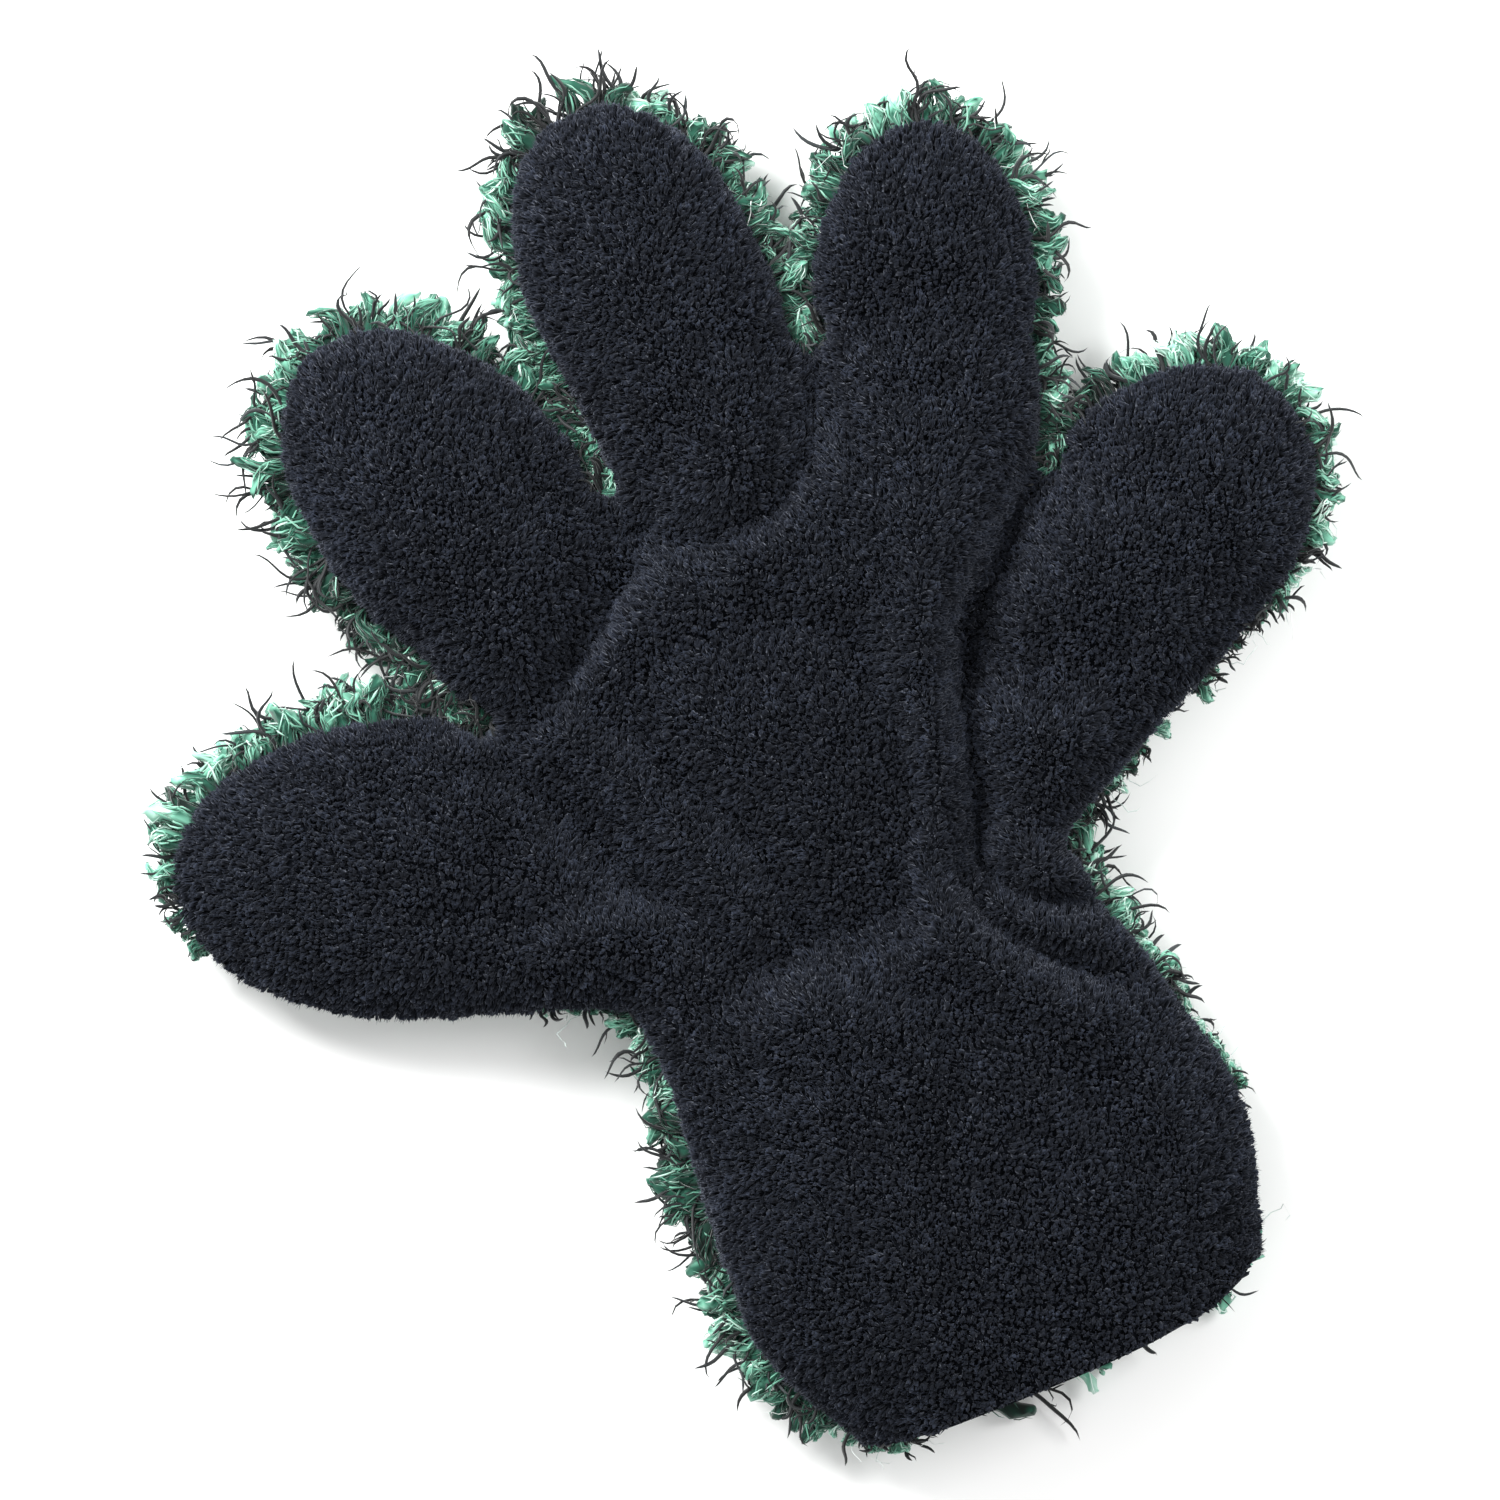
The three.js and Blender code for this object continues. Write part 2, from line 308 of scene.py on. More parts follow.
def plush_heights():
    """Top of the plush over each cell, from the CAD, with the notches over the folds filled. 0 is outside."""
    tops = heights_over("plush_panel_")
    first = np.argmax(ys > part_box("plush_panel_palm")[0].y / MM + 1)
    tops[:, :first] = tops[:, first:first + 1]
    tops[:, ys < ys[first] - BEYOND] = 0
    filling = notch_filling(tops)
    for fold in folds.values():
        rel = cells - fold["at"]
        u, v = rel @ fold["along"], rel @ fold["across"]
        near = (np.abs(u) < NOTCH) & (np.abs(v) < fold["half"] + 4)
        base = fold["at"] + np.outer(v[near], fold["across"])
        before = sample(tops, base - NOTCH * fold["along"])
        after = sample(tops, base + NOTCH * fold["along"])
        share = ramp(u[near], -NOTCH, NOTCH)
        bridge = np.where((before > 18) & (after > 18), before * (1 - share) + after * share, 0)
        flat = tops.ravel()
        filled = np.maximum(flat[near], np.maximum(bridge, 20.0))
        flat[near] = np.where(filling[near], filled, flat[near] * (np.abs(u[near]) > SLOT))
        tops = flat.reshape(tops.shape)
    weight = (tops > 0).astype(float)
    soft = blur(tops * weight, 3) / np.maximum(blur(weight, 3), 1e-6)
    return np.where(weight > 0, soft, 0)


tops = plush_heights()
depth_in = outline_distance(tops > 0)
smooth_depth = blur(depth_in, 4)
slope_x, slope_y = np.gradient(smooth_depth, STEP)


def outward(xy):
    """Unit direction in the plane, straight out of the outline."""
    return unit(-np.stack([sample(slope_x, xy), sample(slope_y, xy)], axis=1))


def near_path(xy, path):
    """Distance from points to a line of straight stretches, how far along it the nearest place is, 0 to 1, and
    whether the point is on its left."""
    path = np.asarray(path, float)
    steps = np.diff(path, axis=0)
    lengths = np.linalg.norm(steps, axis=1)
    run = np.concatenate([[0], np.cumsum(lengths)])
    best, place, left = np.full(len(xy), np.inf), np.zeros(len(xy)), np.zeros(len(xy), bool)
    for start, step, length, so_far in zip(path[:-1], steps, lengths, run[:-1]):
        t = np.clip(((xy - start) @ step) / length**2, 0, 1)
        gap = np.linalg.norm(xy - start - t[:, None] * step, axis=1)
        closer = gap < best
        best[closer] = gap[closer]
        place[closer] = (so_far + t[closer] * length) / run[-1]
        rel = xy[closer] - start
        left[closer] = step[0] * rel[:, 1] - step[1] * rel[:, 0] > 0
    return best, place, left


def solid_from_heights():
    """A closed form between the two sides of the cloth, on the cells."""
    inside = depth_in >= INSET
    top = np.maximum(tops - PILE_DEPTH, SEAM_Z + 1.5)
    bottom = np.clip(SEAM_Z - UNDER_SLOPE * (top - SEAM_Z), UNDER_Z, SEAM_Z - 2)
    index = np.arange(inside.size).reshape(inside.shape)
    full = inside[:-1, :-1] & inside[1:, :-1] & inside[:-1, 1:] & inside[1:, 1:]
    i, j = np.nonzero(full)
    upper = np.stack([index[i, j], index[i + 1, j], index[i + 1, j + 1], index[i, j + 1]], axis=1)
    lower = upper[:, ::-1] + inside.size
    edges = np.concatenate([upper[:, [k, (k + 1) % 4]] for k in range(4)])
    seen = set(map(tuple, edges))
    rim = np.array([e for e in map(tuple, edges) if e[::-1] not in seen])
    walls = np.stack([rim[:, 1], rim[:, 0], rim[:, 0] + inside.size, rim[:, 1] + inside.size], axis=1)
    points = np.concatenate([
        np.stack([cell_x.ravel(), cell_y.ravel(), top.ravel()], axis=1),
        np.stack([cell_x.ravel(), cell_y.ravel(), bottom.ravel()], axis=1),
    ])
    faces = np.concatenate([upper, lower, walls])
    used, faces = np.unique(faces, return_inverse=True)
    return new_mesh("form", points[used], [faces.reshape(-1, 4)])


def remesh(obj, size, passes):
    modifier = obj.modifiers.new("remesh", "REMESH")
    modifier.mode = "VOXEL"
    modifier.voxel_size = size * MM
    modifier.use_smooth_shade = True
    relax = obj.modifiers.new("relax", "SMOOTH")
    relax.factor = 0.5
    relax.iterations = passes
    return bake_modifiers(obj)


def inflate(obj):
    """Blows the cloth up a little, as a filled mitt is. It only rises and sinks, by no more than SWELL."""
    rest = points_of(obj)
    cloth = obj.modifiers.new("cloth", "CLOTH")
    cloth.settings.quality = 5
    cloth.settings.mass = 0.3
    cloth.settings.tension_stiffness = 12
    cloth.settings.compression_stiffness = 12
    cloth.settings.bending_stiffness = 0.4
    cloth.settings.shrink_min = -0.04
    cloth.settings.use_pressure = True
    cloth.settings.uniform_pressure_force = 4
    cloth.settings.effector_weights.gravity = 0
    cloth.collision_settings.use_collision = False
    cloth.point_cache.frame_start = 1
    cloth.point_cache.frame_end = 20
    for number in range(1, 21):
        bpy.context.scene.frame_set(number)
    bake_modifiers(obj)
    bpy.context.scene.frame_set(1)
    rest[:, 2] += np.clip(points_of(obj)[:, 2] - rest[:, 2], -SWELL, SWELL)
    rest[:, 2] = np.maximum(rest[:, 2], UNDER_Z - 1.5)
    set_points(obj, rest)


def crumple(points):
    """Presses the folds into the plush side."""
    xy = points[:, :2]
    share = ramp(points[:, 2], SEAM_Z, SEAM_Z + 7)
    for path, deep, half_left, half_right in CREASES:
        gap, place, left = near_path(xy, path)
        half = np.where(left, half_left, half_right)
        taper = np.sqrt(np.clip(np.sin(np.pi * np.clip(place * 0.86 + 0.07, 0, 1)), 0, 1))
        points[:, 2] -= share * deep * taper * np.exp(-((gap / half) ** 2))
    wave = np.sin(xy[:, 0] / 7.1 + 1.3 * np.sin(xy[:, 1] / 11)) * np.sin(xy[:, 1] / 8.3 + 0.9 * np.sin(xy[:, 0] / 13))
    points[:, 2] += share * 0.45 * wave
    points[:, 2] = np.maximum(points[:, 2], np.where(share > 0, SEAM_Z + 0.2 * share, points[:, 2]))
    return points


def cuff_line(x):
    edge = np.array(CUFF_EDGE, float)
    return np.interp(x, edge[:, 0], edge[:, 1])


CUT_Y = -157.0
form = remesh(solid_from_heights(), VOXEL, 4)
inflate(form)
finer = form.modifiers.new("finer", "SUBSURF")
finer.levels = 1
bake_modifiers(form)
set_points(form, crumple(points_of(form)))


def plane_cut(work, at, normal, near=None, drop=False):
    """Cuts the form along a plane, in millimetres. near limits the cut, and drop removes the outer side."""
    faces = [f for f in work.faces if near is None or near(f.calc_center_median())]
    parts = list({e for f in faces for e in f.edges}) + faces + list({v for f in faces for v in f.verts})
    bmesh.ops.bisect_plane(
        work, geom=parts, dist=1e-7, plane_co=Vector(at) * MM, plane_no=Vector(normal),
        clear_outer=drop,
    )


def cut_lines(obj):
    work = bmesh.new()
    work.from_mesh(obj.data)
    plane_cut(work, (0, CUT_Y, 0), (0, -1, 0), drop=True)
    plane_cut(work, (0, 0, SEAM_Z), (0, 0, 1))
    plane_cut(work, (0, CUT_Y + HEM_DEPTH, 0), (0, 1, 0))
    for fold in folds.values():
        at = fold["at"] - FOLD_NEAR * fold["along"]

        def close(centre, fold=fold):
            rel = np.array(centre[:2]) / MM - fold["at"]
            return abs(rel @ fold["across"]) < fold["half"] + 8 and abs(rel @ fold["along"]) < 30

        plane_cut(work, (*at, SEAM_Z), (*fold["along"], 0), near=close)
    work.to_mesh(obj.data)
    work.free()


def body_of(xy):
    """Which body the cloth over a point belongs to, as an index into BODIES."""
    best, owner = np.full(len(xy), 1.4), np.zeros(len(xy), int)
    for index, name in enumerate(FINGERS):
        rel = xy - folds[name]["at"]
        share = np.abs(rel @ folds[name]["across"]) / folds[name]["half"]
        take = (rel @ folds[name]["along"] > -FOLD_NEAR) & (share < best)
        owner[take], best[take] = index + 1, share[take]
    return owner


cut_lines(form)
form_points = points_of(form)
bend = np.clip(1 - (form_points[:, 1] - CUT_Y) / 45, 0, 1) ** 2
form_points[:, 1] += bend * (cuff_line(form_points[:, 0]) - CUT_Y)
set_points(form, form_points)
form_normals = normals_of(form)
form_faces = [tuple(p.vertices) for p in form.data.polygons]
face_centres = np.array([form_points[list(f)].mean(0) for f in form_faces])
face_body = body_of(face_centres[:, :2])
face_upper = face_centres[:, 2] > SEAM_Z
face_hem = face_centres[:, 1] < cuff_line(face_centres[:, 0]) + HEM_DEPTH - 0.5


def part_of_form(want, offset=0.0):
    """Points, normals and faces of the chosen faces of the form."""
    chosen = [form_faces[i] for i in np.nonzero(want)[0]]
    used = np.unique(np.concatenate([np.array(f) for f in chosen]))
    place = {old: new for new, old in enumerate(used)}
    faces = [tuple(place[i] for i in f) for f in chosen]
    return form_points[used] + offset * form_normals[used], form_normals[used], faces


def triangles(faces):
    return np.array([(f[0], f[k], f[k + 1]) for f in faces for k in range(1, len(f) - 1)])


def area_of(points, tris):
    a, b, c = (points[tris[:, k]] for k in range(3))
    return float(np.linalg.norm(np.cross(b - a, c - a), axis=1).sum() / 2)


def thick_sheet(name, points, faces, thickness, material):
    """Cloth of an even thickness, with these points on its outer face."""
    mesh = bpy.data.meshes.new(name)
    mesh.from_pydata([tuple(p) for p in points * MM], [], faces)
    mesh.update()
    mesh.materials.append(material)
    obj = bpy.data.objects.new(name, mesh)
    bpy.context.scene.collection.objects.link(obj)
    solidify = obj.modifiers.new("thickness", "SOLIDIFY")
    solidify.thickness = thickness * MM
    solidify.offset = -1
    bake_modifiers(obj)
    obj.data.polygons.foreach_set("use_smooth", np.full(len(obj.data.polygons), True))
    return obj


# ---------------------------------------------------------------- materials


def srgb(r, g, b):
    return tuple((c / 255 / 12.92) if c <= 10 else ((c / 255 + 0.055) / 1.055) ** 2.4 for c in (r, g, b)) + (1,)


def node_material(name, stops, roughness, sheen=0.0, sheen_tint=(1, 1, 1, 1), specular=0.3):
    """A principled material whose colour comes from a ramp, with the ramp's stops in sRGB."""
    material = bpy.data.materials.new(name)
    material.use_nodes = True
    tree = material.node_tree
    shader = tree.nodes["Principled BSDF"]
    shader.inputs["Roughness"].default_value = roughness
    shader.inputs["Specular IOR Level"].default_value = specular
    shader.inputs["Sheen Weight"].default_value = sheen
    shader.inputs["Sheen Roughness"].default_value = 0.5
    shader.inputs["Sheen Tint"].default_value = sheen_tint
    colours = tree.nodes.new("ShaderNodeValToRGB")
    elements = colours.color_ramp.elements
    while len(elements) < len(stops):
        elements.new(0.5)
    for element, (position, colour) in zip(elements, stops):
        element.position = position
        element.color = srgb(*colour)
    tree.links.new(colours.outputs["Color"], shader.inputs["Base Color"])
    return material, tree, colours, shader


def pile_material(name, stops, root, **looks):
    """Colour by strand, with painted shade that darkens each strand towards its root, deep in the pile."""
    material, tree, colours, shader = node_material(name, stops, **looks)
    shade = tree.nodes.new("ShaderNodeAttribute")
    shade.attribute_name = "shade"
    along = tree.nodes.new("ShaderNodeAttribute")
    along.attribute_name = "along"
    # Painted shade: along the strand the colour is scaled from root at its root up to full at 0.8 of its length.
    root_shade = tree.nodes.new("ShaderNodeMapRange")
    root_shade.inputs["From Max"].default_value = 0.8
    root_shade.inputs["To Min"].default_value = root
    tree.links.new(along.outputs["Fac"], root_shade.inputs["Value"])
    product = tree.nodes.new("ShaderNodeMath")
    product.operation = "MULTIPLY"
    tree.links.new(shade.outputs["Fac"], product.inputs[0])
    tree.links.new(root_shade.outputs["Result"], product.inputs[1])
    tree.links.new(product.outputs["Value"], colours.inputs["Fac"])
    return material


def knit_material(name, stops, pitch, roughness=0.9, sheen=0.2, specular=0.3):
    """Knitted cloth: rows of small loops across a fine ground, pitch apart, in millimetres."""
    material, tree, colours, shader = node_material(name, stops, roughness, sheen, specular=specular)
    place = tree.nodes.new("ShaderNodeTexCoord")
    waves = []
    for direction, size in (("X", pitch), ("Y", pitch * 1.3)):
        wave = tree.nodes.new("ShaderNodeTexWave")
        wave.bands_direction = direction
        wave.inputs["Scale"].default_value = 0.314 / (size * MM)
        wave.inputs["Distortion"].default_value = 1.2
        wave.inputs["Detail"].default_value = 1.0
        tree.links.new(place.outputs["Object"], wave.inputs["Vector"])
        waves.append(wave)
    mix = tree.nodes.new("ShaderNodeMath")
    mix.operation = "MULTIPLY"
    tree.links.new(waves[0].outputs["Fac"], mix.inputs[0])
    tree.links.new(waves[1].outputs["Fac"], mix.inputs[1])
    fuzz = tree.nodes.new("ShaderNodeTexNoise")
    fuzz.inputs["Scale"].default_value = 900
    fuzz.inputs["Detail"].default_value = 3
    tree.links.new(place.outputs["Object"], fuzz.inputs["Vector"])
    blend = tree.nodes.new("ShaderNodeMath")
    blend.operation = "MULTIPLY_ADD"
    blend.inputs[1].default_value = 0.6
    tree.links.new(mix.outputs["Value"], blend.inputs[0])
    tree.links.new(fuzz.outputs["Fac"], blend.inputs[2])
    tree.links.new(blend.outputs["Value"], colours.inputs["Fac"])
    bump = tree.nodes.new("ShaderNodeBump")
    bump.inputs["Strength"].default_value = 0.6
    bump.inputs["Distance"].default_value = 0.0004
    tree.links.new(blend.outputs["Value"], bump.inputs["Height"])
    tree.links.new(bump.outputs["Normal"], shader.inputs["Normal"])
    return material


# root sets how dark the painted shade makes each strand at its root.
plush_pile = pile_material(
    "plush pile", [(0.0, (4, 5, 7)), (0.45, (22, 25, 32)), (1.0, (54, 60, 74))],
    root=0.25, roughness=0.95, sheen=0.14, sheen_tint=(0.75, 0.82, 1, 1), specular=0.06,
)
green_pile = pile_material(
    "mint shag", [(0.0, (3, 18, 14)), (0.26, (30, 80, 64)), (0.48, (116, 178, 154)), (0.9, (232, 246, 240))],
    root=0.4, roughness=0.85, sheen=0.3, specular=0.15,
)
black_pile = pile_material(
    "black shag", [(0.0, (6, 8, 9)), (0.6, (26, 30, 32)), (1.0, (58, 64, 66))],
    root=0.7, roughness=0.6, sheen=0.15, specular=0.35,
)
white_hair = pile_material(
    "pale fibre", [(0.0, (190, 205, 200)), (1.0, (246, 250, 248))],
    root=0.9, roughness=0.7, sheen=0.2, specular=0.3,
)
plush_knit = knit_material(
    "plush ground knit", [(0.2, (4, 5, 7)), (0.9, (18, 21, 27))], 1.3, sheen=0.0, specular=0.05,
)
shag_knit = knit_material("shag ground knit", [(0.2, (10, 36, 29)), (0.9, (40, 88, 72))], 1.6, specular=0.1)
hem_knit = knit_material("hem knit", [(0.2, (18, 21, 27)), (0.9, (58, 64, 76))], 1.1)
seam_thread = knit_material("overlock thread", [(0.2, (20, 24, 30)), (0.9, (66, 74, 86))], 0.9, sheen=0.3)
stitch_thread = knit_material("stitch thread", [(0.2, (16, 18, 22)), (0.9, (52, 56, 62))], 0.4, roughness=0.55)


def attach(obj, body):
    """The palm's pieces ride on the palm. A finger's pieces have their transform applied to the mesh."""
    if body == "palm":
        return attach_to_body(obj, "palm")
    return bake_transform(obj)


# ---------------------------------------------------------------- pile


def strands(centres, radii, sides, turn):
    """Closed tapered tubes that end in a point. centres is (n, rings + 1, 3), radii is (n, rings).
    Returns the points, the faces by number of corners, and how many points each tube has."""
    n, rings = radii.shape
    along = unit(centres[:, -1] - centres[:, 0])
    helper = np.where(np.abs(along[:, 2:3]) < 0.8, [[0.0, 0, 1]], [[1.0, 0, 0]])
    a = unit(np.cross(along, helper))
    b = np.cross(along, a)
    angle = turn[:, None] + 2 * np.pi * np.arange(sides) / sides
    ring = np.cos(angle)[..., None] * a[:, None] + np.sin(angle)[..., None] * b[:, None]
    body = centres[:, :-1, None] + radii[:, :, None, None] * ring[:, None]
    each = rings * sides + 1
    points = np.concatenate([body.reshape(n, -1, 3), centres[:, -1:]], axis=1).reshape(-1, 3)
    start = (np.arange(n) * each)[:, None, None]
    k = np.arange(sides)
    here = k + sides * np.arange(rings - 1)[:, None]
    side = (k + 1) % sides + sides * np.arange(rings - 1)[:, None]
    quads = np.stack([here, side, side + sides, here + sides], axis=-1).reshape(1, -1, 4) + start
    last = (rings - 1) * sides
    cap = np.stack([last + k, last + (k + 1) % sides, np.full(sides, each - 1)], axis=-1)[None] + start
    base = k[::-1][None, None] + start
    return points, [quads.reshape(-1, 4), cap.reshape(-1, 3), base.reshape(-1, sides)], each


def gather(groups):
    """Joins several results of strands into one set of points and faces, with their values. A group may name the
    stretch of a lock that its strands cover."""
    points, faces, values, base = [], {}, {"shade": [], "along": []}, 0
    for (group_points, group_faces, each), shade, rings, sides, *stretch in groups:
        points.append(group_points)
        for block in group_faces:
            faces.setdefault(block.shape[1], []).append(block + base)
        base += len(group_points)
        along = np.append(np.repeat(np.arange(rings), sides), rings)[None] / rings
        low, high = stretch if stretch else (np.zeros(len(shade)), np.ones(len(shade)))
        values["along"].append((low[:, None] + (high - low)[:, None] * along).ravel())
        values["shade"].append(np.repeat(shade, each) if shade.ndim == 1 else shade.ravel())
    return (
        np.concatenate(points),
        [np.concatenate(block) for block in faces.values()],
        {key: np.clip(np.concatenate(value), 0, 1) for key, value in values.items()},
    )


def scatter(points, normals, tris, spacing):
    """Places on a surface, no more than about one to a spacing, and the normals there."""
    a, b, c = (points[tris[:, k]] for k in range(3))
    areas = np.linalg.norm(np.cross(b - a, c - a), axis=1)
    count = int(areas.sum() / 2 / spacing**2 * 4)
    pick = np.searchsorted(np.cumsum(areas), rng.random(count) * areas.sum())
    pick = np.minimum(pick, len(tris) - 1)
    r, s = np.sqrt(rng.random(count)), rng.random(count)
    weights = np.stack([1 - r, r * (1 - s), r * s], axis=1)
    place = np.einsum("nk,nkd->nd", weights, points[tris[pick]])
    normal = unit(np.einsum("nk,nkd->nd", weights, normals[tris[pick]]))
    _, first = np.unique(np.floor(place / spacing).astype(int), axis=0, return_index=True)
    first = np.sort(first)
    return place[first], normal[first]


def wander(xy, size, seed):
    """A smooth random value from about -1 to 1 that changes over about size millimetres."""
    phases = np.random.default_rng(seed).random((4, 3)) * 2 * np.pi
    total = 0
    for k, (p, q, r) in enumerate(phases):
        turn = p + k * 0.9
        total = total + np.sin((xy[:, 0] * np.cos(turn) + xy[:, 1] * np.sin(turn)) / size * (1 + 0.3 * k) + q) * np.cos(
            (xy[:, 1] * np.cos(turn + 1) - xy[:, 0] * np.sin(turn + 1)) / size * 0.8 + r
        )
    return total / 2


def clumps(points, normals, tris):
    """The clumps that the pile leans into: their centres by size, with the strength of each size."""
    found = []
    for size, strength in ((1.8, 0.42), (3.6, 0.22)):
        centres, _ = scatter(points, normals, tris, size)
        tree = KDTree(len(centres))
        for index, centre in enumerate(centres):
            tree.insert(centre, index)
        tree.balance()
        found.append((tree, rng.random((len(centres), 4)), strength))
    return found


def plush_fibres(body, root, normal, groups_of, width, long, tilt):
    """Base, shoulder and tip of each tuft, its half width, and its shade."""
    n = len(root)
    along = np.array([0, 1.0]) if body == "palm" else folds[body]["along"]
    heading = np.arctan2(along[1], along[0]) + 1.2 * wander(root[:, :2], 12, 5) + rng.normal(0, 0.5, n)
    lay = np.stack([np.cos(heading), np.sin(heading), np.zeros(n)], axis=1)
    lay = unit(lay - (lay * normal).sum(1, keepdims=True) * normal)
    way, lift, tone, pull = normal.copy(), np.zeros(n), np.zeros(n), np.zeros((n, 3))
    for tree, looks, strength in groups_of:
        found = [tree.find(p)[:2] for p in root]
        patch = looks[[f[1] for f in found]]
        pull += strength * np.clip(np.array([f[0] for f in found]) - root, -1.7, 1.7)
        lift += 0.8 * (patch[:, 0] - 0.5)
        tone += 0.14 * (patch[:, 1] - 0.5)
        way += 0.5 * (patch[:, 2:3] - 0.5) * lay + 0.5 * (patch[:, 3:] - 0.5) * np.cross(normal, lay)
    lean = np.radians(rng.uniform(0, tilt, n))[:, None]
    length = (rng.uniform(*long, n) + 0.6 * lift)[:, None]
    way = unit(np.cos(lean) * way + np.sin(lean) * lay)
    tip = root + way * length + 1.15 * pull + rng.normal(0, 0.13, root.shape)
    shoulder = root + (0.72 * way + 0.08 * normal) * length + 0.85 * pull
    shade = 0.5 + tone + 0.25 * lift + rng.normal(0, 0.06, n) + 0.05 * wander(root[:, :2], 22, 9)
    return root - 0.5 * normal, shoulder, tip, rng.uniform(*width, n), shade


def plush_tufts(body, points, normals, tris):
    groups_of = clumps(points, normals, tris)
    root, normal = scatter(points, normals, tris, 1.12)
    base, shoulder, tip, wide, shade = plush_fibres(body, root, normal, groups_of, (0.42, 0.64), (1.8, 2.5), 30)
    radii = np.stack([wide * 0.9, wide], axis=1)
    body_tubes = strands(np.stack([base, shoulder, tip], axis=1), radii, 3, rng.random(len(root)) * 6.3)
    # Painted shade: the thick, shorter body tufts are coloured darker than the fine tufts standing over them, as shade
    # deep in the pile.
    groups = [(body_tubes, shade - 0.08, 2, 3)]
    root, normal = scatter(points, normals, tris, 0.74)
    base, _, tip, wide, shade = plush_fibres(body, root, normal, groups_of, (0.2, 0.32), (2.3, 3.2), 45)
    fine_tubes = strands(np.stack([base, tip], axis=1), wide[:, None], 3, rng.random(len(root)) * 6.3)
    groups.append((fine_tubes, shade + 0.06, 1, 3))
    return gather(groups)


# How far the shag stands out past the plush, as a share of its full length, at places round the mitt.
FRINGE = [
    (-134, 52, 0.9), (-120, 60, 1.0), (-104, 65, 1.0), (-80, 50, 0.9), (-142, 38, 0.55), (-141, 27, 0.2),
    (-136, 14, 0.12), (-124, -2, 0.05), (-108, -12, 0.03),
    (-85, -25, 0.1), (-70, -34, 0.2), (-60, -46, 0.75),
    (-60, -80, 1.0), (-65, -120, 1.0), (-63, -142, 0.75), (-54, -152, 0.35), (-36, -160, 0.03), (0, -163, 0.0),
    (16, -163, 0.0), (30, -163, 0.0), (40, -160, 0.0), (49, -152, 0.12), (51, -146, 0.1), (55, -128, 0.05), (54, -108, 0.25), (52, -88, 0.5),
    (56, -62, 0.9), (68, -48, 0.4), (84, -40, 0.1), (106, -28, 0.15), (124, -18, 0.4), (138, -2, 0.6),
    (143, 18, 0.7), (134, 34, 0.7), (110, 38, 0.7), (82, 34, 0.6), (84, 60, 0.6), (100, 60, 0.6), (108, 96, 0.7),
    (88, 118, 0.85), (60, 104, 0.75), (52, 84, 0.6), (54, 120, 0.7), (24, 158, 0.9), (-4, 130, 0.8),
    (-8, 80, 0.7), (-14, 118, 0.75), (-30, 128, 0.85), (-50, 134, 0.95), (-80, 118, 0.95), (-80, 95, 0.9),
    (-70, 60, 0.85), (-55, 38, 0.65),
]


def fringe_share(xy):
    anchors = np.array(FRINGE)
    gap = np.linalg.norm(xy[:, None] - anchors[None, :, :2], axis=2)
    weight = 1 / (gap**3 + 1)
    return (weight * anchors[:, 2]).sum(1) / weight.sum(1)


def tucked(xy):
    """1 where no shag shows past the plush and it lies back under the mitt, 0 where it stands out."""
    return 1 - ramp(fringe_share(xy), 0.08, 0.26)


def lock_length(xy, edge):
    """Length of the shag at these roots, as a share of its full length."""
    share, inward = fringe_share(xy), tucked(xy)
    at_edge = (0.15 + 0.85 * share) * (1 - inward) + 0.6 * inward
    return np.where(edge > 0.2, at_edge, 1.0)


def shag_places(points, normals, tris, spacing):
    """Roots on the shag side, the way each one lies, and how near the outline it is."""
    root, normal = scatter(points, normals, tris, spacing)
    xy = root[:, :2]
    edge = 1 - ramp(sample(smooth_depth, xy), 4, 15)
    out = outward(xy)
    to_cuff = 1 - ramp(xy[:, 1] - cuff_line(xy[:, 0]), 2, 10)
    out = unit(out * (1 - to_cuff[:, None]) + to_cuff[:, None] * np.array([0, -1.0]))
    heading = 2.6 * wander(xy, 17, 21) + rng.normal(0, 0.6, len(root))
    loose = np.stack([np.cos(heading), np.sin(heading)], axis=1)
    inward = tucked(xy)[:, None]
    lie = unit(edge[:, None] * out * 1.5 * (1 - 1.6 * inward) + (1 - 0.8 * edge[:, None]) * loose)
    return root, normal, lie, edge


def spine(root, normal, lie, length, stations, swing, rise, hook):
    """Centre lines of locks of hair that leave the cloth and lie over: (n, stations, 3)."""
    n = len(root)
    s = stations[None, :, None]
    side = np.stack([-lie[:, 1], lie[:, 0], np.zeros(n)], axis=1)[:, None]
    ahead = np.stack([lie[:, 0], lie[:, 1], np.zeros(n)], axis=1)[:, None]
    length = length[:, None, None]
    turn = hook[:, None, None]
    size = np.abs(turn) + 1e-3
    phase = rng.random((n, 1, 1)) * 2 * np.pi
    bends = rng.uniform(0.5, 1.2, (n, 1, 1))
    sway = swing[:, None, None] * (np.sin(2 * np.pi * bends * s + phase) - np.sin(phase))
    lift = normal[:, None] * np.minimum(s * 3, 1) * 1.6
    arc = length * (ahead * np.sin(size * s) + side * np.sign(turn) * (1 - np.cos(size * s))) / size
    path = root[:, None] - 0.6 * normal[:, None] + lift + arc + side * sway
    path[..., 2:] += rise[:, None, None] * s**1.3
    return path


def even(rings):
    return np.linspace(0, 1, rings + 1)


